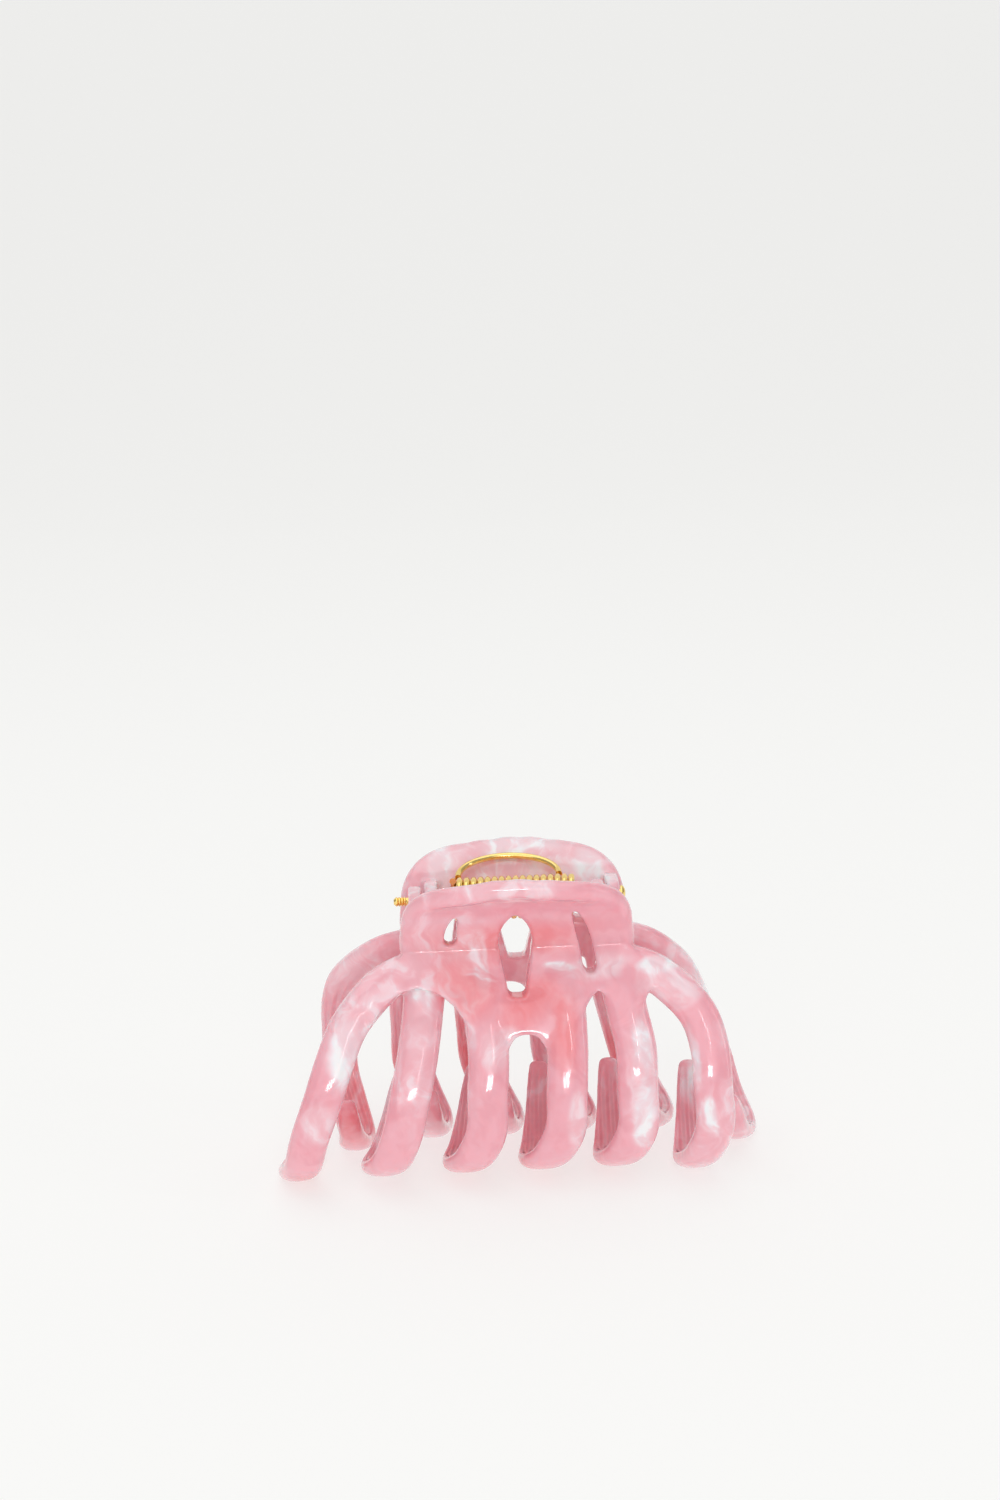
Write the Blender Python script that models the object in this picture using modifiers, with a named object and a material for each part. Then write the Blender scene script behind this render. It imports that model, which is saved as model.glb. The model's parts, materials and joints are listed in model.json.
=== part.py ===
"""A large claw clip: two identical sprung jaws that swing on one hinge pin.

The row frame has X along the hinge, +Z up and -Y towards the front jaw. The origin is on the floor under
the middle of the hinge, with the clip closed and standing on its claws.

A jaw is described by how far OUT a point lies from the clip's middle plane and how far UP it lies from the
hinge axis. The front jaw's "out" is -Y. The back jaw is the same moulding turned half a turn about Z, so
each jaw's claws, which lean to one side at the foot, drop between the claws of the other.
"""

import math

import bmesh
import bpy
import numpy as np
from mathutils import Matrix, Vector

MM = 0.001

# Driving dimensions, in millimetres
HINGE_HEIGHT = 61.3
WALL = 4.2
THINNING_LENGTH = 5.0
THINNED_SHARE = 0.55
CLAW_THICKNESS = 5.0
TIP_REACH = 1.4
HANDLE_HALF_WIDTH = 25.9
RIM_HALF_WIDTH = 23.7
RIM_CORNER_RADIUS = 13.5
SHOULDER_SLOPE = 0.7
SHOULDER_DROP = 2.2
HANDLE_CROWN = 1.2
PIN_RADIUS = 0.9
BORE_RADIUS = 1.25
EAR_RADIUS = 3.3
OUTER_EAR = (20.5, 23.4)
INNER_EAR = (16.9, 20.0)
WIRE_RADIUS = 0.68
COIL_RADIUS = 4.15
COIL_TURNS = 17
COIL_PITCH = 1.55
COIL_MIDDLE = -0.3

# The jaw's middle line from the rim of the handle down to the crease, and on down the body: (out, up)
HANDLE_LINE = ((19.8, 7.6), (16.2, 5.6), (12.6, 2.0), (10.1, -3.2), (8.4, -8.7))
BODY_LINE = ((8.4, -8.7), (10.6, -12.6), (13.6, -17.0), (17.2, -22.0), (20.7, -28.6))

# The claws' shared line at its twelve stations, from inside the body to the tip: (out, up)
ROOT, SHOULDER, ARCH, BULGE, LOW_BULGE, FOOT, TIP = 0, 1, 2, 3, 5, 7, 11
CLAW_LINE = (
    (9.6, -11.0),
    (12.3, -15.0),
    (16.9, -22.0),
    (20.6, -29.5),
    (23.2, -38.0),
    (23.8, -46.0),
    (20.6, -53.0),
    (13.5, -56.9),
    (6.0, -56.4),
    (-1.0, -52.2),
    (-6.1, -47.2),
    (-8.2, -43.2),
)
WIDTH_SHARES = (0.75, 1.0, 1.0, 1.0, 1.0, 1.0, 1.0, 1.0, 0.88, 0.68, 0.58, 0.53)
THICKNESS_SHARES = (0.55, 0.9, 1.0, 1.0, 1.0, 1.0, 1.0, 0.97, 0.92, 0.85, 0.78, 0.71)
SETBACK_SHARES = (1.0, 1.0, 1.0, 0.45, 0.1, 0.0, 0.0, 0.0, 0.0, 0.0, 0.0, 0.0)

# Each claw's place along the hinge at the key stations, the width of its shank, how much wider its root is,
# how far its root is set back behind the wall, how much shorter its tip is, and its foot: (out, up)
KEY_STATIONS = (ROOT, SHOULDER, ARCH, BULGE, LOW_BULGE, FOOT, TIP)
MIDDLE_FOOT = (13.5, -56.9)
LONG_FOOT = (9.0, -59.15)
SIDE_FOOT = (11.5, -59.15)
CLAWS = (
    ("claw_1", (-21.0, -29.4, -36.8, -40.6, -47.0, -51.0, -46.6), 8.6, 0.0, 0.0, 4.0, LONG_FOOT),
    ("claw_2", (-20.2, -20.4, -21.3, -22.7, -26.8, -32.0, -26.0), 9.1, 0.0, 2.9, 0.0, MIDDLE_FOOT),
    ("claw_3", (-8.6, -8.2, -7.7, -7.3, -8.4, -13.9, -9.6), 9.1, 1.0, 0.0, 0.0, MIDDLE_FOOT),
    ("claw_4", (9.3, 9.5, 9.7, 9.9, 8.9, 3.2, 4.9), 9.1, 1.0, 0.0, 0.0, MIDDLE_FOOT),
    ("claw_5", (21.8, 22.2, 23.3, 24.8, 24.8, 19.9, 21.0), 9.1, 0.0, 0.0, 0.0, MIDDLE_FOOT),
    ("claw_6", (21.0, 30.0, 38.0, 40.8, 41.7, 37.9, 39.4), 8.7, 0.0, 0.0, 1.4, SIDE_FOOT),
)
# The arched gaps over the claws: middle along the hinge, half width, apex, foot, and how pointed
ARCHES = (
    ("arch_over_claw_2", (-22.3, 13.2, -15.8, -34.0, 0.0)),
    ("arch_4_5", (17.4, 6.4, -17.4, -34.0, 0.15)),
    ("arch_5_6", (31.9, 7.4, -15.8, -34.0, 0.0)),
)
CLAW_RINGS = 24
CLAW_SIDES = 14


def clear_scene():
    for obj in list(bpy.data.objects):
        bpy.data.objects.remove(obj, do_unlink=True)


def collection(name):
    found = bpy.data.collections.new(name)
    bpy.context.scene.collection.children.link(found)
    return found


def material(name, colour, roughness, metallic):
    made = bpy.data.materials.new(name)
    made.use_nodes = True
    shader = made.node_tree.nodes["Principled BSDF"]
    shader.inputs["Base Color"].default_value = (*colour, 1.0)
    shader.inputs["Roughness"].default_value = roughness
    shader.inputs["Metallic"].default_value = metallic
    return made


def place(x, out, up):
    """A point of the front jaw, in metres in the row frame."""
    return Vector((x * MM, -out * MM, (HINGE_HEIGHT + up) * MM))


def smooth_line(points, samples):
    """That many points along a Catmull-Rom curve through these points."""
    known = np.array(points, float)
    ends = np.vstack([2 * known[0] - known[1], known, 2 * known[-1] - known[-2]])
    made = []
    for at in np.linspace(0, len(known) - 1, samples):
        k = min(int(at), len(known) - 2)
        t = at - k
        a, b, c, d = ends[k : k + 4]
        bend = 2 * b + (c - a) * t + (2 * a - 5 * b + 4 * c - d) * t**2 + (3 * b - a - 3 * c + d) * t**3
        made.append(bend / 2)
    return np.array(made)


def link_mesh(name, mesh, into):
    obj = bpy.data.objects.new(name, mesh)
    into.objects.link(obj)
    return obj


def object_from_bmesh(name, bm, into):
    bmesh.ops.recalc_face_normals(bm, faces=bm.faces)
    mesh = bpy.data.meshes.new(name)
    bm.to_mesh(mesh)
    bm.free()
    return link_mesh(name, mesh, into)


def loft(name, rings, into):
    """A closed solid through rings of points, with a flat cap on each end."""
    bm = bmesh.new()
    made = [[bm.verts.new(point) for point in ring] for ring in rings]
    for ring, following in zip(made, made[1:]):
        for k in range(len(ring)):
            after = (k + 1) % len(ring)
            bm.faces.new((ring[k], ring[after], following[after], following[k]))
    bm.faces.new(made[0])
    bm.faces.new(made[-1])
    return object_from_bmesh(name, bm, into)


def oval(width, thickness, sides):
    """A rounded bar's section: (across, outward) offsets. The powers square it off a little."""
    made = []
    for k in range(sides):
        angle = 2 * math.pi * (k + 0.5) / sides
        across, outward = math.cos(angle), math.sin(angle)
        across = math.copysign(abs(across) ** 0.8, across) * width / 2
        outward = math.copysign(abs(outward) ** 0.9, outward) * thickness / 2
        made.append((across, outward))
    return made


def sweep_ring(centre, along, outward, width, thickness, sides):
    across = along.cross(outward).normalized()
    outward = across.cross(along).normalized()
    section = oval(width, thickness, sides)
    return [centre + (across * a + outward * o) * MM for a, o in section]


def claw_stations(x_keys, shank, root_flare, setback, shorter, foot):
    """(x, out, up, width, thickness) at each of the claw's stations."""
    line = np.array(CLAW_LINE)
    stations = np.arange(len(line))
    nearness = np.clip(1 - abs(stations - FOOT) / 3, 0, 1)[:, None]
    line = line + nearness * (np.array(foot) - MIDDLE_FOOT)
    x = np.interp(stations, KEY_STATIONS, x_keys)
    out = line[:, 0] - setback * np.array(SETBACK_SHARES)
    up = line[:, 1] - shorter * np.clip((stations - FOOT) / (TIP - FOOT), 0, 1)
    width = shank * np.array(WIDTH_SHARES) + root_flare * np.clip(1 - stations / BULGE, 0, 1)
    return np.column_stack([x, out, up, width, CLAW_THICKNESS * np.array(THICKNESS_SHARES)])


def make_claw(name, shape, into):
    rows = smooth_line(claw_stations(*shape), CLAW_RINGS)
    rings = []
    for k, (x, out, up, width, thickness) in enumerate(rows):
        step = rows[min(k + 1, len(rows) - 1)] - rows[max(k - 1, 0)]
        along = (place(*step[:3]) - place(0, 0, 0)).normalized()
        outward = (place(0, -step[2], step[1]) - place(0, 0, 0)).normalized()
        rings.append(sweep_ring(place(x, out, up), along, outward, width, thickness, CLAW_SIDES))
    last, before = np.array(rows[-1][:3]), np.array(rows[-2][:3])
    nose = place(*(last + (last - before) / np.linalg.norm(last - before) * TIP_REACH))
    middle = place(*last)
    rings.append([nose + (point - middle) * 0.55 for point in rings[-1]])
    return loft(name, rings, into)


def wall_half_width(from_rim, below_crease):
    """The wall's half width: rounded corners at the rim, and shoulders that widen below the crease."""
    full = RIM_HALF_WIDTH + (HANDLE_HALF_WIDTH - RIM_HALF_WIDTH) * min(1.0, from_rim / 20.0)
    full += min(7.0, SHOULDER_SLOPE * max(0.0, below_crease - SHOULDER_DROP))
    if from_rim >= RIM_CORNER_RADIUS:
        return full
    short = RIM_CORNER_RADIUS - from_rim
    return full - RIM_CORNER_RADIUS + math.sqrt(RIM_CORNER_RADIUS**2 - short**2)


def make_wall(into, rows_down_handle=10, rows_down_body=7, columns=20):
    """The handle and the body above the claws: one curved sheet, thickened by Solidify."""
    handle = smooth_line(HANDLE_LINE, rows_down_handle)
    body = smooth_line(BODY_LINE, rows_down_body)[1:]
    line = np.vstack([handle, body])
    travelled = np.concatenate([[0], np.cumsum(np.linalg.norm(np.diff(line, axis=0), axis=1))])
    crease = travelled[rows_down_handle - 1]
    bm = bmesh.new()
    bmesh.ops.create_grid(bm, x_segments=columns, y_segments=len(line) - 1, size=1)
    bm.verts.ensure_lookup_table()
    for index, vertex in enumerate(bm.verts):
        row, column = divmod(index, columns + 1)
        out, up = line[row]
        share = 2 * column / columns - 1
        crown = HANDLE_CROWN * share**2 * max(0.0, 1 - travelled[row] / crease)
        half_width = wall_half_width(travelled[row] + 0.3, max(0.0, travelled[row] - crease))
        vertex.co = place(share * half_width, out - crown * 0.5, up - crown)
    wall = object_from_bmesh("wall", bm, into)
    thinning = wall.vertex_groups.new(name="thickness")
    for row, reach in enumerate(travelled):
        weight = min(1.0, (travelled[-1] - reach) / THINNING_LENGTH)
        thinning.add(list(range(row * (columns + 1), (row + 1) * (columns + 1))), weight, "REPLACE")
    thicken = wall.modifiers.new("wall_thickness", "SOLIDIFY")
    thicken.vertex_group = thinning.name
    thicken.thickness_vertex_group = THINNED_SHARE
    thicken.thickness = WALL * MM
    thicken.offset = 0.0
    thicken.use_even_offset = True
    return wall


def prism(name, outline, low, high, into, axis):
    """An outline pushed from low to high. Along X the outline is (out, up), and along Y it is (x, up)."""
    bm = bmesh.new()
    if axis == "X":
        points = [place(low, out, up) for out, up in outline]
        push = Vector(((high - low) * MM, 0, 0))
    else:
        points = [place(x, low, up) for x, up in outline]
        push = Vector((0, -(high - low) * MM, 0))
    face = bm.faces.new([bm.verts.new(point) for point in points])
    pushed = bmesh.ops.extrude_face_region(bm, geom=[face])["geom"]
    bmesh.ops.translate(bm, vec=push, verts=[g for g in pushed if isinstance(g, bmesh.types.BMVert)])
    return object_from_bmesh(name, bm, into)


def ear_outline():
    """An ear's side view: round about the hinge pin, and running out into the wall."""
    arc = [math.radians(a) for a in np.linspace(90, 255, 11)]
    round_end = [(EAR_RADIUS * math.cos(a), EAR_RADIUS * math.sin(a)) for a in arc]
    return [*round_end, (5.0, -5.6), (8.4, -8.6), (9.8, -4.0), (12.4, 0.9), (6.5, 3.0)]


def arch_outline(x, half_width, apex, base, point=0.0):
    """A gap with an arched top, from its base up to its apex. A point sharpens the arch."""
    around = [math.radians(a) for a in np.linspace(0, 180, 15)]
    rise = apex - base
    return [
        (x + half_width * math.cos(a), base + rise * math.sin(a) - point * rise * abs(math.cos(a)) * math.sin(a))
        for a in around
    ]


def centre_hole_outline():
    """A tall leaf-shaped opening: a pointed arch at its top, narrowing towards its foot."""
    right = [(1.2, -18.0), (1.9, -14.5), (2.7, -11.0), (3.3, -7.4), (3.0, -4.8), (2.1, -2.7), (1.0, -1.2)]
    left = [(-1.7, -1.4), (-3.0, -3.1), (-3.8, -5.2), (-4.1, -7.6), (-3.6, -11.0), (-2.9, -14.5), (-2.3, -18.0)]
    return [*right, (-0.5, -0.2), *left]


def bell_outline():
    """The rounded gap under the bridge, spreading below into the two middle claws."""
    middle = 1.1
    right = [(8.0, -34.0), (5.0, -30.0), (4.0, -28.4), (3.2, -26.8), (1.9, -25.6)]
    left = [(middle - x, up) for x, up in reversed(right)]
    return [*[(middle + x, up) for x, up in right], (middle, -25.2), *left]


def left_slot_outline():
    """A fin-shaped opening, straight towards the middle of the clip and curved towards its end."""
    straight = [(-13.3, -7.4), (-13.2, -4.5), (-13.0, -2.0), (-12.6, 0.4)]
    curved = [(-13.7, -0.5), (-14.9, -2.2), (-15.8, -4.4), (-16.2, -7.4)]
    return straight + curved


def right_slot_outline():
    straight = [(14.3, -14.2), (13.8, -9.0), (13.1, -6.0), (12.4, -2.6), (11.8, 0.9)]
    curved = [(13.2, -0.2), (14.7, -2.8), (15.8, -6.0), (16.6, -9.0), (17.4, -14.2)]
    return straight + curved


def cylinder(name, radius, low, high, sides, into):
    """A bar along X, on the hinge axis."""
    bm = bmesh.new()
    turn = Matrix.Rotation(math.radians(90), 4, "Y")
    shift = Matrix.Translation(place((low + high) / 2, 0, 0))
    ends = radius * MM
    bmesh.ops.create_cone(
        bm, cap_ends=True, segments=sides, radius1=ends, radius2=ends, depth=(high - low) * MM, matrix=shift @ turn
    )
    return object_from_bmesh(name, bm, into)


def boolean(obj, other, operation):
    cut = obj.modifiers.new(other.name, "BOOLEAN")
    cut.operation = operation
    cut.object = other
    other.hide_render = True
    other.display_type = "WIRE"


def make_jaw_mesh(cutters):
    """One jaw in the front jaw's place, as a single mesh."""
    jaw = make_wall(cutters)
    openings = (
        ("left_slot", left_slot_outline()),
        ("right_slot", right_slot_outline()),
        ("centre_slot", centre_hole_outline()),
        ("under_bridge", bell_outline()),
        *((name, arch_outline(*arch)) for name, arch in ARCHES),
    )
    for name, outline in openings:
        boolean(jaw, prism(name, outline, 2.0, 30.0, cutters, "Y"), "DIFFERENCE")
    for name, *shape in CLAWS:
        boolean(jaw, make_claw(name, shape, cutters), "UNION")
    for name, low, high in (("outer_ear", -OUTER_EAR[1], -OUTER_EAR[0]), ("inner_ear", *INNER_EAR)):
        boolean(jaw, prism(name, ear_outline(), low, high, cutters, "X"), "UNION")
    boolean(jaw, cylinder("bore", BORE_RADIUS, -40.0, 40.0, 20, cutters), "DIFFERENCE")
    below_floor = [(-80.0, -HINGE_HEIGHT), (80.0, -HINGE_HEIGHT), (80.0, -80.0), (-80.0, -80.0)]
    boolean(jaw, prism("below_floor", below_floor, -40.0, 40.0, cutters, "Y"), "DIFFERENCE")
    bpy.context.view_layer.update()
    graph = bpy.context.evaluated_depsgraph_get()
    mesh = bpy.data.meshes.new_from_object(jaw.evaluated_get(graph))
    jaw.hide_render = True
    return mesh


def shade(obj, finish):
    obj.data.materials.clear()
    obj.data.materials.append(finish)
    if obj.type == "MESH":
        obj.data.shade_smooth()
        obj.data.set_sharp_from_angle(angle=math.radians(50))


def wire(name, points, into, finish):
    """A bent wire as a curve with round section and filled ends."""
    curve = bpy.data.curves.new(name, "CURVE")
    curve.dimensions = "3D"
    curve.bevel_depth = WIRE_RADIUS * MM
    curve.bevel_resolution = 2
    curve.use_fill_caps = True
    spline = curve.splines.new("POLY")
    spline.points.add(len(points) - 1)
    for point, co in zip(spline.points, points):
        point.co = (*co, 1.0)
    obj = bpy.data.objects.new(name, curve)
    into.objects.link(obj)
    obj.data.materials.append(finish)
    return obj


def coil_points(steps_a_turn=10):
    """The close-wound turns of the spring, round the hinge pin."""
    length = COIL_TURNS * COIL_PITCH
    made = []
    for k in range(COIL_TURNS * steps_a_turn + 1):
        turns = k / steps_a_turn
        angle = 2 * math.pi * turns + math.pi / 2
        x = turns * COIL_PITCH - length / 2 + COIL_MIDDLE
        made.append(place(x, COIL_RADIUS * math.cos(angle), COIL_RADIUS * math.sin(angle)))
    return made


def arm_points(samples=23):
    """The arch of wire that leans on the inside of the front handle."""
    middle, half_span = 0.9, 11.3
    base, top = np.array((4.8, 3.7)), np.array((12.3, 6.3))
    made = []
    for angle in np.linspace(0, math.pi, samples):
        out, up = base + (top - base) * math.sin(angle)
        made.append(place(middle + half_span * math.cos(angle), out, up))
    return made


def make_pin(into, finish):
    """A nail-like pin, turned: ribbed tail at -X, plain shank, domed head at +X."""
    profile = [(-26.7, 0.0), (-26.7, 0.6), (-26.4, 0.85)]
    for rib in range(4):
        start = -26.3 + rib * 0.6
        profile += [(start + 0.12, 1.05), (start + 0.34, 1.05), (start + 0.48, 0.8)]
    profile += [(-23.7, PIN_RADIUS), (23.7, PIN_RADIUS), (23.7, 1.65), (24.0, 1.7)]
    dome = [math.radians(a) for a in np.linspace(15, 75, 4)]
    profile += [(24.0 + 0.85 * math.sin(a), 1.7 * math.cos(a)) for a in dome]
    profile += [(24.87, 0.0)]
    bm = bmesh.new()
    points = [bm.verts.new(Vector((radius * MM, 0, along * MM))) for along, radius in reversed(profile)]
    for a, b in zip(points, points[1:]):
        bm.edges.new((a, b))
    mesh = bpy.data.meshes.new("hinge_pin")
    bm.to_mesh(mesh)
    bm.free()
    pin = link_mesh("hinge_pin", mesh, into)
    turn = pin.modifiers.new("turn", "SCREW")
    turn.steps = turn.render_steps = 20
    turn.use_merge_vertices = True
    turn.merge_threshold = 0.00001
    turn.use_smooth_shade = True
    pin.matrix_world = Matrix.Translation(place(0, 0, 0)) @ Matrix.Rotation(math.radians(90), 4, "Y")
    pin.data.materials.append(finish)
    return pin


def main():
    clear_scene()
    clip = collection("claw_clip")
    cutters = collection("cutters")
    pink = material("marbled_plastic", (0.86, 0.42, 0.47), 0.12, 0.0)
    gold = material("gold_plate", (0.93, 0.64, 0.22), 0.15, 1.0)

    jaw_mesh = make_jaw_mesh(cutters)
    front = link_mesh("front_jaw", jaw_mesh, clip)
    shade(front, pink)
    half_turn = Matrix.Rotation(math.pi, 4, "Z")
    back = link_mesh("back_jaw", jaw_mesh, clip)
    back.matrix_world = half_turn

    make_pin(clip, gold)
    wire("spring_coil", coil_points(), clip, gold)
    wire("spring_arm_front", arm_points(), clip, gold)
    wire("spring_arm_back", [half_turn @ point for point in arm_points()], clip, gold)


main()
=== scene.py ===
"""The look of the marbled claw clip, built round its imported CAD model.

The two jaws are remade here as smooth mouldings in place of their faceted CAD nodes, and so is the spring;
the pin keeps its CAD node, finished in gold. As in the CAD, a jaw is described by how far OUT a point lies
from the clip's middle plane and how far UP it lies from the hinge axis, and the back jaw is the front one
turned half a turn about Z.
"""

import json
import math

import bmesh
import bpy
import numpy as np
from mathutils import Matrix, Vector


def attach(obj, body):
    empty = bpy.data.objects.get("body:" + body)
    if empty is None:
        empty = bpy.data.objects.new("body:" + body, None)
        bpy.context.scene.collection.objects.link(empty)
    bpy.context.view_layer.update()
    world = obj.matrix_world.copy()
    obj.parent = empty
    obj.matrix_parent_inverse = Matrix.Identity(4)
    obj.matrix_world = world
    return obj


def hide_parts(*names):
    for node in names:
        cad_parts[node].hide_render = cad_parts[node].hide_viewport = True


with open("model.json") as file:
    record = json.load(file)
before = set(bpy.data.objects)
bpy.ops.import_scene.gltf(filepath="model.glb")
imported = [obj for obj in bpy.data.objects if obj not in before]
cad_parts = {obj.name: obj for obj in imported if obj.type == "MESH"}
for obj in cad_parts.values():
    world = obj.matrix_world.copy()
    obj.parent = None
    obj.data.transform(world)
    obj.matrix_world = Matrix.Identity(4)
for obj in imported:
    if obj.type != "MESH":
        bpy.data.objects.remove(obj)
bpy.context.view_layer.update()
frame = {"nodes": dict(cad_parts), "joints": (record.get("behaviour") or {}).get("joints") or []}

MM = 0.001
HINGE_UP = frame["joints"][0]["pos_m"][2] / MM

# Lengths are in millimetres
WALL = 4.2
THINNING_LENGTH = 5.0
THINNED_SHARE = 0.55
CLAW_THICKNESS = 5.1
HANDLE_HALF_WIDTH = 24.0
HANDLE_WIDENING_LENGTH = 18.0
RIM_HALF_WIDTH = 21.7
RIM_CORNER_RADIUS = 11.6
RIM_BEAD = 2.15
SHOULDER_SLOPE = 0.7
SHOULDER_DROP = 2.2
SHOULDER_STEP = 1.9
SHOULDER_GROWTH = 7.0
HANDLE_CROWN = 1.2
CREASE_UP = -9.4
CREASE_BAND = 1.3
CREASE_OUT = 12.5
BORE_RADIUS = 1.25
BORE_CLEARANCE = 0.12
EAR_RADIUS = 3.3
OUTER_EAR = (20.5, 23.4)
INNER_EAR = (16.9, 20.0)
WIRE_RADIUS = 0.72
COIL_RADIUS = 4.15
COIL_TURNS = 17
COIL_PITCH = 1.55
COIL_MIDDLE = -0.3
ARM_MIDDLE = 0.9
ARM_HALF_SPAN = 11.3
ARM_BASE = (4.8, 3.7)
ARM_TOP = (12.3, 6.3)

# (out, up) down the middle of the handle and of the body
HANDLE_LINE = ((18.3, 6.9), (15.6, 5.2), (12.6, 2.0), (10.1, -3.2), (8.4, -8.7))
BODY_LINE = ((8.4, -8.7), (10.6, -12.6), (13.6, -17.0), (17.2, -22.0), (20.7, -28.6))

# Stations down a claw, and the (out, up) line that every claw follows through them
ROOT, SHOULDER, ARCH, BULGE, LOW_BULGE, FOOT, TIP = 0, 1, 2, 3, 5, 7, 11
CLAW_LINE = (
    (9.6, -11.0),
    (12.3, -15.0),
    (16.9, -22.0),
    (20.6, -29.5),
    (23.2, -38.0),
    (23.8, -46.0),
    (20.6, -53.0),
    (13.5, -56.9),
    (6.0, -56.4),
    (-1.0, -52.2),
    (-6.1, -47.2),
    (-8.2, -43.2),
)
WIDTH_SHARES = (0.75, 1.0, 1.0, 1.0, 1.0, 1.0, 1.0, 1.0, 0.88, 0.68, 0.58, 0.53)
THICKNESS_SHARES = (0.55, 0.9, 1.0, 1.0, 1.0, 1.0, 1.0, 0.97, 0.92, 0.85, 0.78, 0.71)
SETBACK_SHARES = (1.0, 1.0, 1.0, 0.45, 0.1, 0.0, 0.0, 0.0, 0.0, 0.0, 0.0, 0.0)
KEY_STATIONS = (ROOT, SHOULDER, ARCH, BULGE, LOW_BULGE, FOOT, TIP)
MIDDLE_FOOT = (13.5, -56.9)
LONG_FOOT = (9.0, -59.15)
SIDE_FOOT = (11.5, -59.15)
# The keys across the clip, shank width, root flare, setback, shortening and foot of each claw, left to right
CLAWS = (
    ((-21.0, -29.4, -36.8, -40.6, -47.0, -51.0, -46.6), 8.6, 0.0, 0.0, 4.0, LONG_FOOT),
    ((-20.2, -20.4, -21.3, -22.7, -26.8, -32.0, -26.0), 9.1, 0.0, 2.9, 0.0, MIDDLE_FOOT),
    ((-8.6, -8.2, -7.7, -7.3, -8.4, -13.9, -9.6), 9.1, 1.0, 0.0, 0.0, MIDDLE_FOOT),
    ((9.3, 9.5, 9.7, 9.9, 8.9, 3.2, 4.9), 9.1, 1.0, 0.0, 0.0, MIDDLE_FOOT),
    ((21.8, 22.2, 23.3, 24.8, 24.8, 19.9, 21.0), 9.1, 0.0, 0.0, 0.0, MIDDLE_FOOT),
    ((21.0, 30.0, 38.0, 40.8, 41.7, 37.9, 39.4), 8.7, 0.0, 0.0, 1.4, SIDE_FOOT),
)
# The middle, half width, apex, base and pointedness of the arched gaps: over claw 2, 4 to 5 and 5 to 6
ARCHES = (
    (-22.3, 13.2, -15.8, -34.0, 0.0),
    (17.4, 6.4, -17.4, -34.0, 0.15),
    (31.9, 7.4, -15.8, -34.0, 0.0),
)
CLAW_RINGS = 64
CLAW_SIDES = 32
CLAW_END_CAPS = ((0.5, 0.93), (0.95, 0.8), (1.25, 0.58), (1.4, 0.3))
BEAD_SIDES = 20
VOXEL = 0.45 * MM
NEAREST_BATCH = 20000


def place(x, out, up):
    """A point of the front jaw, in metres in the row frame."""
    return Vector((x * MM, -out * MM, (HINGE_UP + up) * MM))


def smooth_line(points, samples):
    """That many points along a Catmull-Rom curve through these points."""
    known = np.array(points, float)
    ends = np.vstack([2 * known[0] - known[1], known, 2 * known[-1] - known[-2]])
    made = []
    for at in np.linspace(0, len(known) - 1, samples):
        k = min(int(at), len(known) - 2)
        t = at - k
        a, b, c, d = ends[k : k + 4]
        bend = 2 * b + (c - a) * t + (2 * a - 5 * b + 4 * c - d) * t**2 + (3 * b - a - 3 * c + d) * t**3
        made.append(bend / 2)
    return np.array(made)


def link_mesh(name, mesh):
    obj = bpy.data.objects.new(name, mesh)
    bpy.context.scene.collection.objects.link(obj)
    return obj


def object_from_bmesh(name, bm):
    bmesh.ops.recalc_face_normals(bm, faces=bm.faces)
    mesh = bpy.data.meshes.new(name)
    bm.to_mesh(mesh)
    bm.free()
    return link_mesh(name, mesh)


def apply_modifiers(obj):
    bpy.context.view_layer.update()
    graph = bpy.context.evaluated_depsgraph_get()
    mesh = bpy.data.meshes.new_from_object(obj.evaluated_get(graph))
    obj.modifiers.clear()
    obj.data = mesh


def face_outwards(obj):
    bm = bmesh.new()
    bm.from_mesh(obj.data)
    bmesh.ops.recalc_face_normals(bm, faces=bm.faces)
    bm.to_mesh(obj.data)
    bm.free()


def remove(obj):
    bpy.data.objects.remove(obj, do_unlink=True)


def loft(name, rings):
    bm = bmesh.new()
    made = [[bm.verts.new(point) for point in ring] for ring in rings]
    for ring, following in zip(made, made[1:]):
        for k in range(len(ring)):
            after = (k + 1) % len(ring)
            bm.faces.new((ring[k], ring[after], following[after], following[k]))
    bm.faces.new(made[0])
    bm.faces.new(made[-1])
    return object_from_bmesh(name, bm)


def section(width, thickness, channel):
    """A rounded bar's (across, outward) offsets, with a channel sunk into its inner side; its ribs are left
    to the material.
    """
    made = []
    for k in range(CLAW_SIDES):
        angle = 2 * math.pi * (k + 0.5) / CLAW_SIDES
        c, s = math.cos(angle), math.sin(angle)
        across = math.copysign(abs(c) ** 0.8, c) * width / 2
        outward = math.copysign(abs(s) ** 0.9, s) * thickness / 2
        if s < 0:
            share = abs(across) / (width / 2)
            outward += channel * min(1.0, max(0.0, (0.85 - share) / 0.2))
        made.append((across, outward))
    return made


def claw_stations(x_keys, shank, root_flare, setback, shorter, foot):
    """(x, out, up, width, thickness, channel, station) at each of the claw's stations."""
    line = np.array(CLAW_LINE)
    stations = np.arange(len(line))
    nearness = np.clip(1 - abs(stations - FOOT) / 3, 0, 1)[:, None]
    line = line + nearness * (np.array(foot) - MIDDLE_FOOT)
    x = np.interp(stations, KEY_STATIONS, x_keys)
    out = line[:, 0] - setback * np.array(SETBACK_SHARES)
    up = line[:, 1] - shorter * np.clip((stations - FOOT) / (TIP - FOOT), 0, 1)
    width = shank * np.array(WIDTH_SHARES) + root_flare * np.clip(1 - stations / BULGE, 0, 1)
    thickness = CLAW_THICKNESS * np.array(THICKNESS_SHARES)
    channel = np.interp(stations, (BULGE, LOW_BULGE + 1, TIP - 1, TIP), (0, 1.0, 0.9, 0.3))
    return np.column_stack([x, out, up, width, thickness, channel, stations])


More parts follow.
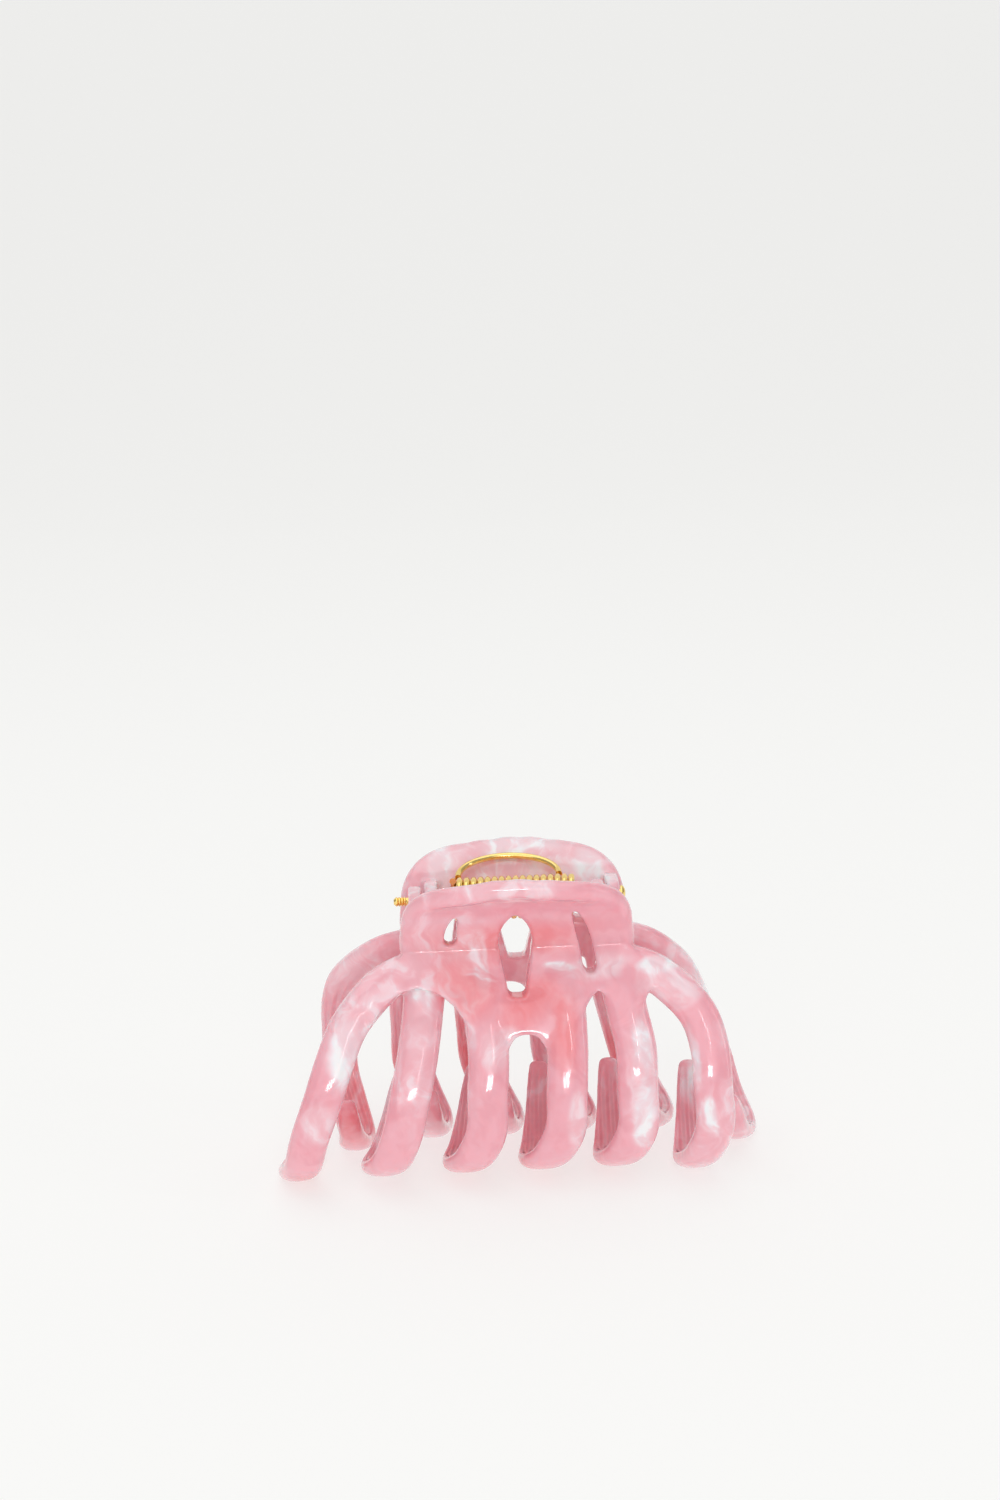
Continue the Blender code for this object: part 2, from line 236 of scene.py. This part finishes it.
def claw_frames(shape):
    """Centre, across and outward directions, width, thickness, channel and station down one claw."""
    rows = smooth_line(claw_stations(*shape), CLAW_RINGS)
    origin = place(0, 0, 0)
    frames = []
    for k, row in enumerate(rows):
        step = rows[min(k + 1, len(rows) - 1)] - rows[max(k - 1, 0)]
        along = (place(*step[:3]) - origin).normalized()
        outward = (place(0, -step[2], step[1]) - origin).normalized()
        across = along.cross(outward).normalized()
        frames.append((place(*row[:3]), across, across.cross(along).normalized(), *row[3:]))
    return frames


def make_claw(shape):
    frames = claw_frames(shape)
    rings = []
    for centre, across, outward, *sizes, _ in frames:
        rings.append([centre + (across * a + outward * o) * MM for a, o in section(*sizes)])
    last = frames[-1][0]
    along = (last - frames[-2][0]).normalized()
    for reach, size in CLAW_END_CAPS:
        rings.append([last + along * reach * MM + (p - last) * size for p in rings[len(frames) - 1]])
    return loft("claw", rings)


def wall_half_width(from_rim, below_crease):
    """Half the wall's width, rounded at the rim's corners and wider again under the crease."""
    widening = min(1.0, from_rim / HANDLE_WIDENING_LENGTH)
    full = RIM_HALF_WIDTH + (HANDLE_HALF_WIDTH - RIM_HALF_WIDTH) * widening
    full += SHOULDER_STEP * min(1.0, below_crease / SHOULDER_DROP)
    full += min(SHOULDER_GROWTH, SHOULDER_SLOPE * max(0.0, below_crease - SHOULDER_DROP))
    if from_rim >= RIM_CORNER_RADIUS:
        return full
    short = RIM_CORNER_RADIUS - from_rim
    return full - RIM_CORNER_RADIUS + math.sqrt(RIM_CORNER_RADIUS**2 - short**2)


def make_wall(rows_down_handle=36, rows_down_body=30, columns=70):
    """The handle and body as a thickened sheet, and the round bead that edges the handle."""
    handle = smooth_line(HANDLE_LINE, rows_down_handle)
    body = smooth_line(BODY_LINE, rows_down_body)[1:]
    line = np.vstack([handle, body])
    travelled = np.concatenate([[0], np.cumsum(np.linalg.norm(np.diff(line, axis=0), axis=1))])
    crease = travelled[rows_down_handle - 1]

    def point(row, share):
        out, up = line[row]
        crown = HANDLE_CROWN * share**2 * max(0.0, 1 - travelled[row] / crease)
        wave = 0.22 * math.sin(4.1 * share + 0.8) * math.cos(9.0 * share) * max(0.0, 1 - travelled[row] / 6)
        half_width = wall_half_width(travelled[row] + 0.3, max(0.0, travelled[row] - crease))
        return place(share * half_width, out - crown * 0.5, up - crown + wave)

    bm = bmesh.new()
    bmesh.ops.create_grid(bm, x_segments=columns, y_segments=len(line) - 1, size=1)
    bm.verts.ensure_lookup_table()
    for index, vertex in enumerate(bm.verts):
        row, column = divmod(index, columns + 1)
        vertex.co = point(row, 2 * column / columns - 1)
    wall = object_from_bmesh("wall", bm)
    thinning = wall.vertex_groups.new(name="thickness")
    for row, reach in enumerate(travelled):
        weight = min(1.0, (travelled[-1] - reach) / THINNING_LENGTH)
        thinning.add(list(range(row * (columns + 1), (row + 1) * (columns + 1))), weight, "REPLACE")
    thicken = wall.modifiers.new("wall_thickness", "SOLIDIFY")
    thicken.vertex_group = thinning.name
    thicken.thickness_vertex_group = THINNED_SHARE
    thicken.thickness = WALL * MM
    thicken.offset = 0.0
    thicken.use_even_offset = True
    sides = range(rows_down_handle - 1, 0, -1)
    edge = [point(row, -1) for row in sides]
    edge += [point(0, share) for share in np.linspace(-1, 1, 41)]
    edge += [point(row, 1) for row in reversed(sides)]
    return wall, bead(edge)


def bead(edge):
    """A round bar along the handle's edge, a little finer where it meets the crease."""
    rings = []
    for k, centre in enumerate(edge):
        along = (edge[min(k + 1, len(edge) - 1)] - edge[max(k - 1, 0)]).normalized()
        across = along.cross(Vector((0, 1, 0))).normalized()
        other = along.cross(across)
        end = min(k, len(edge) - 1 - k) / 12
        radius = RIM_BEAD * (0.86 + 0.14 * min(1.0, end)) * MM
        turns = [2 * math.pi * t / BEAD_SIDES for t in range(BEAD_SIDES)]
        rings.append([centre + (across * math.cos(t) + other * math.sin(t)) * radius for t in turns])
    return loft("bead", rings)


def prism(name, outline, low, high, axis):
    bm = bmesh.new()
    if axis == "X":
        points = [place(low, out, up) for out, up in outline]
        push = Vector(((high - low) * MM, 0, 0))
    else:
        points = [place(x, low, up) for x, up in outline]
        push = Vector((0, -(high - low) * MM, 0))
    face = bm.faces.new([bm.verts.new(point) for point in points])
    pushed = bmesh.ops.extrude_face_region(bm, geom=[face])["geom"]
    bmesh.ops.translate(bm, vec=push, verts=[g for g in pushed if isinstance(g, bmesh.types.BMVert)])
    return object_from_bmesh(name, bm)


def ear_outline():
    """An ear's side view: round about the hinge pin, and running out into the wall."""
    arc = [math.radians(a) for a in np.linspace(90, 255, 25)]
    round_end = [(EAR_RADIUS * math.cos(a), EAR_RADIUS * math.sin(a)) for a in arc]
    return [*round_end, (5.0, -5.6), (8.4, -8.6), (9.8, -4.0), (12.4, 0.9), (6.5, 3.0)]


def arch_outline(x, half_width, apex, base, point):
    """Half an ellipse, drawn in towards a point at the top."""
    around = [math.radians(a) for a in np.linspace(0, 180, 41)]
    rise = apex - base
    made = []
    for a in around:
        up = base + rise * math.sin(a) - point * rise * abs(math.cos(a)) * math.sin(a)
        made.append((x + half_width * math.cos(a), up))
    return made


def rounded(outline, cuts=2):
    """The outline with its corners softened, by cutting each corner off that many times."""
    points = [np.array(p, float) for p in outline]
    for _ in range(cuts):
        made = []
        for a, b in zip(points, points[1:] + points[:1]):
            made += [0.75 * a + 0.25 * b, 0.25 * a + 0.75 * b]
        points = made
    return [tuple(p) for p in points]


def centre_hole_outline():
    """A tall leaf-shaped opening: a pointed arch at its top, narrowing towards its foot."""
    right_foot = [(1.2, -18.0), (1.9, -14.5), (2.7, -11.0), (3.3, -7.4)]
    right_top = [(3.0, -4.8), (2.1, -2.7), (1.0, -1.2)]
    left_top = [(-1.7, -1.4), (-3.0, -3.1), (-3.8, -5.2)]
    left_foot = [(-4.1, -7.6), (-3.6, -11.0), (-2.9, -14.5), (-2.3, -18.0)]
    return [*right_foot, *right_top, (-0.5, -0.2), *left_top, *left_foot]


def bell_outline():
    """The rounded gap under the bridge, spreading below into the two middle claws."""
    middle = 1.1
    right = [(8.0, -34.0), (5.0, -30.0), (4.0, -28.4), (3.2, -26.8), (1.9, -25.6)]
    left = [(middle - x, up) for x, up in reversed(right)]
    return [*[(middle + x, up) for x, up in right], (middle, -25.2), *left]


def left_slot_outline():
    """A fin-shaped opening, straight towards the middle of the clip and curved towards its end."""
    straight = [(-13.3, -7.4), (-13.2, -4.5), (-13.0, -2.0), (-12.6, 0.4)]
    curved = [(-13.7, -0.5), (-14.9, -2.2), (-15.8, -4.4), (-16.2, -7.4)]
    return straight + curved


def right_slot_outline():
    """The matching opening on the other side, which runs on below the crease."""
    straight = [(14.3, -14.2), (13.8, -9.0), (13.1, -6.0), (12.4, -2.6), (11.8, 0.9)]
    curved = [(13.2, -0.2), (14.7, -2.8), (15.8, -6.0), (16.6, -9.0), (17.4, -14.2)]
    return straight + curved


def wall_openings():
    slots = [rounded(outline, 1) for outline in (left_slot_outline(), right_slot_outline())]
    arches = [arch_outline(*arch) for arch in ARCHES]
    return [centre_hole_outline(), rounded(bell_outline()), *slots, *arches]


def cut(obj, cutter):
    modifier = obj.modifiers.new("cut", "BOOLEAN")
    modifier.operation = "DIFFERENCE"
    modifier.use_self = True
    modifier.object = cutter
    apply_modifiers(obj)
    remove(cutter)


def cylinder(name, radius, low, high, sides):
    bm = bmesh.new()
    turn = Matrix.Rotation(math.radians(90), 4, "Y")
    shift = Matrix.Translation(place((low + high) / 2, 0, 0))
    bmesh.ops.create_cone(
        bm,
        cap_ends=True,
        segments=sides,
        radius1=radius * MM,
        radius2=radius * MM,
        depth=(high - low) * MM,
        matrix=shift @ turn,
    )
    return object_from_bmesh(name, bm)


def joined(objects):
    bm = bmesh.new()
    for obj in objects:
        bm.from_mesh(obj.data)
        remove(obj)
    return object_from_bmesh("joined", bm)


def make_jaw_mesh():
    wall, edge = make_wall()
    apply_modifiers(wall)
    face_outwards(wall)
    cut(wall, joined([prism("opening", outline, 2.0, 30.0, "Y") for outline in wall_openings()]))
    claws = [make_claw(shape) for shape in CLAWS]
    ears = []
    for low, high in ((-OUTER_EAR[1], -OUTER_EAR[0]), INNER_EAR):
        ear = prism("ear", ear_outline(), low, high, "X")
        cut(ear, cylinder("bore", BORE_RADIUS + BORE_CLEARANCE, low - 1, high + 1, 32))
        ears.append(ear)
    jaw = joined([wall, edge, *claws, *ears])
    remesh = jaw.modifiers.new("remesh", "REMESH")
    remesh.mode = "VOXEL"
    remesh.voxel_size = VOXEL
    remesh.use_smooth_shade = True
    apply_modifiers(jaw)
    soften(jaw)
    mesh = jaw.data
    remove(jaw)
    level_feet(mesh)
    describe_claws(mesh)
    return mesh


def vertex_array(mesh):
    flat = np.empty(len(mesh.vertices) * 3, np.float32)
    mesh.vertices.foreach_get("co", flat)
    return flat.reshape(-1, 3).astype(float) / MM


def soften(jaw):
    """Rounds every edge, but leaves the crease under the handle sharper."""
    points = vertex_array(jaw.data)
    from_crease = (points[:, 2] - HINGE_UP - CREASE_UP) / CREASE_BAND
    near_crease = np.exp(-(from_crease**2)) * (points[:, 1] > -CREASE_OUT)
    weights = np.round(1 - 0.75 * near_crease, 1)
    group = jaw.vertex_groups.new(name="softness")
    for weight in np.unique(weights):
        group.add(np.flatnonzero(weights == weight).tolist(), float(weight), "REPLACE")
    smooth = jaw.modifiers.new("smooth", "SMOOTH")
    smooth.factor = 0.5
    smooth.iterations = 12
    smooth.vertex_group = "softness"
    apply_modifiers(jaw)


def level_feet(mesh):
    """Makes the lowest feet flat where they bear on the floor."""
    points = vertex_array(mesh)
    points[:, 2] = np.maximum(points[:, 2], 0.0)
    mesh.vertices.foreach_set("co", (points * MM).astype(np.float32).ravel())
    mesh.update()


def describe_claws(mesh):
    """Stores, at each vertex, how far across a claw it lies and whether it is on a hook's inner face."""
    frames = [station for shape in CLAWS for station in claw_frames(shape)]
    centres = np.array([f[0] for f in frames]) / MM
    acrosses, outwards = np.array([f[1] for f in frames]), np.array([f[2] for f in frames])
    widths, thicknesses, _, stations = np.array([f[3:] for f in frames]).T
    points = vertex_array(mesh)
    across, inner = np.zeros(len(points)), np.zeros(len(points))
    for start in range(0, len(points), NEAREST_BATCH):
        batch = slice(start, start + NEAREST_BATCH)
        some = points[batch]
        apart = ((some[:, None, :] - centres[None, :, :]) ** 2).sum(axis=2)
        nearest = apart.argmin(axis=1)
        offset = some - centres[nearest]
        a = (offset * acrosses[nearest]).sum(axis=1)
        o = (offset * outwards[nearest]).sum(axis=1) / (thicknesses[nearest] / 2)
        edge = np.clip((0.88 - abs(a) / (widths[nearest] / 2)) / 0.15, 0, 1)
        below_arch = np.clip((stations[nearest] - ARCH) / 1.5, 0, 1)
        above_tip = np.clip((TIP - stations[nearest]) / 0.8, 0, 1)
        across[batch] = a
        inner[batch] = edge * (below_arch * above_tip) * np.clip(-o * 3.0, 0, 1)
    for name, values in (("across_claw", across), ("inner_face", inner)):
        layer = mesh.attributes.new(name, "FLOAT", "POINT")
        layer.data.foreach_set("value", values.astype(np.float32))


def make_jaw(name, mesh, turn):
    jaw = link_mesh(name, mesh)
    jaw.data.transform(turn)
    jaw.data.shade_smooth()
    return jaw


# ---- materials ----


class Nodes:
    """Adds linked shader nodes to one material."""

    def __init__(self, name):
        self.material = bpy.data.materials.new(name)
        self.material.use_nodes = True
        self.tree = self.material.node_tree
        self.shader = self.tree.nodes["Principled BSDF"]

    def add(self, kind, inputs=None, **settings):
        node = self.tree.nodes.new(kind)
        for key, value in settings.items():
            setattr(node, key, value)
        for key, value in (inputs or {}).items():
            if isinstance(value, bpy.types.NodeSocket):
                self.tree.links.new(value, node.inputs[key])
            else:
                node.inputs[key].default_value = value
        return node

    def link(self, socket, name):
        self.tree.links.new(socket, self.shader.inputs[name])

    def ramp(self, factor, *stops):
        node = self.add("ShaderNodeValToRGB", {"Fac": factor})
        ramp = node.color_ramp
        ramp.interpolation = "EASE"
        while len(ramp.elements) < len(stops):
            ramp.elements.new(0.5)
        for element, (at, value) in zip(ramp.elements, stops):
            element.position = at
            colour = value if isinstance(value, tuple) else (value, value, value)
            element.color = (*colour, 1.0)
        return node.outputs["Color"]

    def mix(self, factor, a, b, blend="MIX"):
        node = self.add("ShaderNodeMix", data_type="RGBA", blend_type=blend)
        for index, value in ((0, factor), (6, a), (7, b)):
            if isinstance(value, bpy.types.NodeSocket):
                self.tree.links.new(value, node.inputs[index])
            else:
                node.inputs[index].default_value = value if index == 0 else (*value, 1.0)
        return node.outputs[2]

    def noise(self, vector, scale, detail, roughness=0.5):
        inputs = {"Vector": vector, "Scale": scale, "Detail": detail, "Roughness": roughness}
        return self.add("ShaderNodeTexNoise", inputs)

    def vector(self, operation, *values):
        inputs = dict(enumerate(values))
        return self.add("ShaderNodeVectorMath", inputs, operation=operation).outputs[0]

    def maths(self, operation, a, b=0.0):
        node = self.add("ShaderNodeMath", operation=operation)
        for index, value in ((0, a), (1, b)):
            if isinstance(value, bpy.types.NodeSocket):
                self.tree.links.new(value, node.inputs[index])
            else:
                node.inputs[index].default_value = value
        return node.outputs[0]


# The deep pink is partly the plastic's deeper tint and partly painted shade.
DEEP_PINK_AND_SHADE = (0.93, 0.29, 0.32)
MID_PINK = (0.91, 0.46, 0.53)
# The pale pink is marbling, and also painted light along the front rim's top.
PALE_PINK_AND_LIT = (0.94, 0.72, 0.77)
MILKY = (0.93, 0.93, 0.97)
GOLD_DEEP = (0.92, 0.62, 0.18)
GOLD_PALE = (1.0, 0.78, 0.32)

# The ribs on the hooks' inner faces, pitch in millimetres, and the heights of ribs and ripple in metres
RIB_PITCH = 1.9
RIB_HEIGHT = 0.00022
RIPPLE_HEIGHT = 0.0003

# Patches of each colour on a jaw: middle along the hinge and up, half width and half height. The deep
# patches are partly painted shade, and one pale front patch is painted light on the front rim's top.
FRONT_PALE_AND_LIT_RIM = (
    (-36.0, -25.0, 9.0, 13.0),
    (-44.0, -43.0, 5.0, 7.0),
    (-22.5, -24.0, 4.5, 12.0),
    (-8.0, -8.0, 3.0, 9.0),
    (-5.0, -26.0, 6.0, 5.0),
    (15.0, -13.5, 13.0, 3.4),
    (26.0, -38.0, 5.0, 18.0),
    (33.0, -18.0, 9.0, 7.0),
    (36.5, -33.0, 2.8, 9.0),
    (41.0, -45.0, 4.2, 8.0),
    (10.0, -44.0, 3.0, 9.0),
    # Painted light: this pale band lightens the front rim's top.
    (0.0, 8.0, 24.0, 3.6),
)
FRONT_MILKY = (
    (-38.5, -29.0, 5.0, 10.0),
    (-22.0, -18.5, 4.0, 3.5),
    (26.5, -29.0, 2.6, 8.0),
    (25.5, -44.0, 3.0, 9.0),
    (31.0, -15.0, 6.0, 2.6),
    (37.2, -31.0, 1.8, 6.0),
    (41.5, -44.0, 2.2, 6.0),
    (9.0, -13.0, 3.6, 1.6),
)
# Deep patches on the front jaw, partly painted shade: under the rim, round the openings in the body and low
# on the claws by the floor.
FRONT_DEEP_AND_SHADE = (
    (-2.0, -5.0, 27.0, 7.0),
    (-12.0, -14.0, 11.0, 9.0),
    (2.0, -20.0, 11.0, 7.0),
    (9.0, -25.0, 5.0, 10.0),
    (-47.0, -60.0, 8.0, 6.0),
    (2.0, -60.0, 38.0, 6.0),
)
BACK_PALE = (
    (0.0, 5.0, 34.0, 13.0),
    (40.0, -26.0, 9.0, 16.0),
    (-36.0, -20.0, 9.0, 14.0),
    (10.0, -40.0, 5.0, 14.0),
)
BACK_MILKY = (
    (2.5, 7.5, 12.0, 4.5),
    (-17.0, 5.0, 3.5, 5.5),
    (17.0, 3.0, 4.0, 5.0),
    (43.0, -32.0, 4.0, 12.0),
)
# Deep patches on the back jaw, partly painted shade on the back claws behind the front ones.
BACK_DEEP_AND_SHADE = (
    (-34.0, -49.0, 14.0, 12.0),
    (-10.0, -42.0, 12.0, 16.0),
    (26.0, -45.0, 8.0, 14.0),
)


def patches(n, where, shapes, core):
    """How much a point lies in any of the patches, fading from the core out to the edge."""
    total = None
    for x, up, half_width, half_height in shapes:
        size = (1 / half_width, 0.0, 1 / half_height)
        shift = (-x / half_width, 0.0, -(HINGE_UP + up) / half_height)
        offset = n.vector("MULTIPLY_ADD", where, size, shift)
        apart = n.add("ShaderNodeVectorMath", {0: offset}, operation="LENGTH").outputs["Value"]
        inside = n.ramp(apart, (core, 1.0), (1.0, 0.0))
        total = inside if total is None else n.maths("MAXIMUM", total, inside)
    return total


def marbled_plastic(name, seed, pale_and_lit, milky, deep_and_shade):
    """Translucent pink with pale, milky and deep patches, each broken up by drawn-out wisps; the deep
    patches are partly painted shade, and one pale patch is painted light on the front rim.
    """
    n = Nodes(name)
    in_metres = n.add("ShaderNodeTexCoord").outputs["Object"]
    where = n.vector("MULTIPLY", in_metres, (1000.0,) * 3)
    moved = n.vector("ADD", where, (seed * 31, -seed * 17, seed * 23))
    swirl = n.noise(moved, 0.055, 3.0)
    bend = n.vector("ADD", swirl.outputs["Color"], (-0.5,) * 3)
    warped = n.vector("MULTIPLY_ADD", bend, (10.0, 10.0, 15.0), where)
    flow = n.vector("MULTIPLY_ADD", bend, (34.0, 34.0, 34.0), moved)
    stretched = n.vector("MULTIPLY", flow, (1.0, 0.8, 0.42))
    broad = n.noise(stretched, 0.045, 2.0, 0.4)
    streak = n.noise(stretched, 0.22, 4.0)
    haze = n.ramp(broad.outputs["Fac"], (0.42, 0.0), (0.68, 0.55))
    wisp = n.ramp(streak.outputs["Fac"], (0.40, 0.0), (0.66, 1.0))
    wisp_fine = n.ramp(streak.outputs["Fac"], (0.52, 0.0), (0.66, 1.0))
    pale_and_lit_wisp = n.maths("ADD", n.maths("MULTIPLY", wisp, 0.55), 0.45)
    milky_wisp = n.maths("ADD", n.maths("MULTIPLY", wisp, 0.6), 0.5)
    deep_and_shade_wisp = n.maths("SUBTRACT", 0.95, n.maths("MULTIPLY", wisp, 0.35))
    pale_and_lit_share = n.maths("MAXIMUM", patches(n, warped, pale_and_lit, 0.45), haze)
    pale_and_lit_share = n.maths("MULTIPLY", pale_and_lit_share, pale_and_lit_wisp)
    milky_share = n.maths("MULTIPLY", patches(n, warped, milky, 0.5), milky_wisp)
    milky_haze = n.maths("MULTIPLY", n.maths("MULTIPLY", haze, wisp_fine), 0.6)
    milky_share = n.maths("MAXIMUM", milky_share, milky_haze)
    deep_and_shade_share = n.maths("MULTIPLY", patches(n, warped, deep_and_shade, 0.2), deep_and_shade_wisp)
    # Painted shade: the deep patches darken the pink.
    colour = n.mix(deep_and_shade_share, MID_PINK, DEEP_PINK_AND_SHADE)
    # Marbling, plus painted light: the pale share also lightens the front rim's top.
    colour = n.mix(pale_and_lit_share, colour, PALE_PINK_AND_LIT)
    colour = n.mix(n.maths("MINIMUM", milky_share, 1.0), colour, MILKY)
    tone = n.ramp(streak.outputs["Fac"], (0.34, (0.96, 0.88, 0.89)), (0.62, (1.0, 1.0, 1.0)))
    n.link(n.mix(1.0, colour, tone, "MULTIPLY"), "Base Color")
    across = n.add("ShaderNodeAttribute", attribute_name="across_claw").outputs["Fac"]
    inner = n.add("ShaderNodeAttribute", attribute_name="inner_face").outputs["Fac"]
    rib = n.maths("COSINE", n.maths("MULTIPLY", across, 2 * math.pi / RIB_PITCH))
    ripple = n.noise(where, 0.14, 1.0).outputs["Fac"]
    height = n.maths("MULTIPLY", n.maths("MULTIPLY", rib, inner), RIB_HEIGHT)
    height = n.maths("ADD", height, n.maths("MULTIPLY", ripple, RIPPLE_HEIGHT))
    bump = n.add("ShaderNodeBump", {"Height": height, "Distance": 1.0, "Strength": 1.0})
    n.link(bump.outputs["Normal"], "Normal")
    n.link(bump.outputs["Normal"], "Coat Normal")
    n.link(n.ramp(streak.outputs["Fac"], (0.3, 0.08), (0.7, 0.14)), "Roughness")
    n.shader.inputs["IOR"].default_value = 1.49
    n.shader.inputs["Subsurface Weight"].default_value = 0.6
    n.shader.inputs["Subsurface Radius"].default_value = (1.0, 0.4, 0.42)
    n.shader.inputs["Subsurface Scale"].default_value = 0.003
    n.shader.inputs["Coat Weight"].default_value = 0.6
    n.shader.inputs["Coat Roughness"].default_value = 0.03
    return n.material


def gold_plate():
    n = Nodes("gold_plate")
    where = n.add("ShaderNodeTexCoord").outputs["Object"]
    grain = n.noise(where, 900.0, 3.0)
    n.link(n.mix(grain.outputs["Fac"], GOLD_DEEP, GOLD_PALE), "Base Color")
    n.link(n.ramp(grain.outputs["Fac"], (0.0, 0.09), (1.0, 0.2)), "Roughness")
    n.shader.inputs["Metallic"].default_value = 1.0
    return n.material


# ---- spring ----


def wire(name, points, finish):
    """A round wire along the points."""
    curve = bpy.data.curves.new(name, "CURVE")
    curve.dimensions = "3D"
    curve.bevel_depth = WIRE_RADIUS * MM
    curve.bevel_resolution = 5
    curve.use_fill_caps = True
    spline = curve.splines.new("POLY")
    spline.points.add(len(points) - 1)
    for point, co in zip(spline.points, points):
        point.co = (*co, 1.0)
    obj = bpy.data.objects.new(name, curve)
    bpy.context.scene.collection.objects.link(obj)
    obj.data.materials.append(finish)
    return obj


def coil_points(steps_a_turn=36):
    """The coil's centre line, wound round the hinge axis."""
    length = COIL_TURNS * COIL_PITCH
    made = []
    for k in range(COIL_TURNS * steps_a_turn + 1):
        turns = k / steps_a_turn
        angle = 2 * math.pi * turns + math.pi / 2
        x = turns * COIL_PITCH - length / 2 + COIL_MIDDLE
        made.append(place(x, COIL_RADIUS * math.cos(angle), COIL_RADIUS * math.sin(angle)))
    return made


def arm_points(samples=61):
    """The front arm's centre line: half an ellipse that rises and leans out from beside the coil."""
    base, top = np.array(ARM_BASE), np.array(ARM_TOP)
    made = []
    for angle in np.linspace(0, math.pi, samples):
        out, up = base + (top - base) * math.sin(angle)
        made.append(place(ARM_MIDDLE + ARM_HALF_SPAN * math.cos(angle), out, up))
    return made


# ---- assembly ----

half_turn = Matrix.Rotation(math.pi, 4, "Z")
plastic_front = marbled_plastic("marbled_plastic_front", 3.0, FRONT_PALE_AND_LIT_RIM, FRONT_MILKY, FRONT_DEEP_AND_SHADE)
plastic_back = marbled_plastic("marbled_plastic_back", 11.0, BACK_PALE, BACK_MILKY, BACK_DEEP_AND_SHADE)
gold = gold_plate()

jaw_mesh = make_jaw_mesh()
for name, turn, body, node, finish in (
    ("front_moulding", Matrix.Identity(4), "front_half", "front_jaw", plastic_front),
    ("back_moulding", half_turn, "back_half", "back_jaw", plastic_back),
):
    jaw = make_jaw(name, jaw_mesh.copy(), turn)
    jaw.data.materials.clear()
    jaw.data.materials.append(finish)
    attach(jaw, body)
    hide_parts(node)

coil = wire("coil_wire", coil_points(), gold)
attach(coil, "back_half")
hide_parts("spring_coil")
front_arm = wire("front_arm_wire", arm_points(), gold)
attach(front_arm, "front_half")
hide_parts("spring_arm_front")
back_arm = wire("back_arm_wire", [half_turn @ point for point in arm_points()], gold)
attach(back_arm, "back_half")
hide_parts("spring_arm_back")
pin = frame["nodes"]["hinge_pin"]
for k in range(len(pin.material_slots)):
    pin.material_slots[k].material = gold

# ---- studio ----

scene = bpy.context.scene
scene.view_settings.view_transform = "Standard"
LIT_POINT = (0, 0, 0.03)


def make_floor():
    """A seamless sweep: flat under the clip and curving up far behind it."""
    bm = bmesh.new()
    half_width, front, bend_start, bend, top = 3.0, -2.0, 1.2, 0.8, 4.0
    profile = [(front, 0.0), (bend_start, 0.0)]
    for a in np.linspace(0.1, math.pi / 2, 14):
        profile.append((bend_start + bend * math.sin(a), bend - bend * math.cos(a)))
    profile.append((bend_start + bend, top))
    rows = [[bm.verts.new((x, y, z)) for x in (-half_width, half_width)] for y, z in profile]
    for a, b in zip(rows, rows[1:]):
        bm.faces.new((a[0], a[1], b[1], b[0]))
    floor = object_from_bmesh("studio_sweep", bm)
    floor.data.shade_smooth()
    n = Nodes("studio_sweep")
    n.shader.inputs["Base Color"].default_value = (0.355, 0.362, 0.36, 1.0)
    n.shader.inputs["Roughness"].default_value = 0.95
    n.shader.inputs["Specular IOR Level"].default_value = 0.05
    n.shader.inputs["Emission Color"].default_value = (1.0, 0.992, 0.976, 1.0)
    n.shader.inputs["Emission Strength"].default_value = 0.63
    floor.data.materials.append(n.material)


def area_light(name, location, size, power, size_y=None):
    """A lamp turned towards the clip, square unless it has a second size."""
    light = bpy.data.lights.new(name, "AREA")
    light.energy = power
    light.size = size
    if size_y:
        light.shape = "RECTANGLE"
        light.size_y = size_y
    obj = bpy.data.objects.new(name, light)
    obj.location = location
    obj.rotation_euler = (Vector(LIT_POINT) - Vector(location)).to_track_quat("-Z", "Y").to_euler()
    scene.collection.objects.link(obj)


make_floor()
world = bpy.data.worlds.new("studio")
scene.world = world
world.use_nodes = True
world.node_tree.nodes["Background"].inputs["Color"].default_value = (1.0, 0.995, 0.985, 1.0)
world.node_tree.nodes["Background"].inputs["Strength"].default_value = 0.4
for side in (-1, 1):
    area_light("window_pane", (side * 0.05 + 0.03, -1.0, 0.235), 0.075, 0.36, size_y=0.09)
area_light("tall_slit", (0.16, -1.0, 0.62), 0.016, 0.2, size_y=0.4)
area_light("front_fill", (-0.2, -1.2, 0.7), 1.3, 4.6)
area_light("overhead", (-0.1, 0.0, 1.2), 1.2, 4.5)
area_light("side_strip", (1.0, -0.35, 0.4), 0.05, 0.7, size_y=0.9)

camera = bpy.data.objects.new("camera", bpy.data.cameras.new("camera"))
scene.collection.objects.link(camera)
scene.camera = camera
DISTANCE = 0.5
ELEVATION = math.radians(16.0)
AZIMUTH = math.radians(-2.0)
ROLL = math.radians(1.8)
SHIFT_X = -14 / 1500
SHIFT_Y = 147 / 1500
look_at = Vector((0, 0, HINGE_UP * MM))
back = Vector(
    (
        math.sin(AZIMUTH) * math.cos(ELEVATION),
        -math.cos(AZIMUTH) * math.cos(ELEVATION),
        math.sin(ELEVATION),
    )
)
camera.location = look_at + back * DISTANCE
aim = (-back).to_track_quat("-Z", "Y").to_matrix().to_4x4()
camera.rotation_euler = (aim @ Matrix.Rotation(-ROLL, 4, "Z")).to_euler()
camera.data.sensor_width = 36.0
camera.data.lens = 54.0
camera.data.shift_x = SHIFT_X
camera.data.shift_y = SHIFT_Y
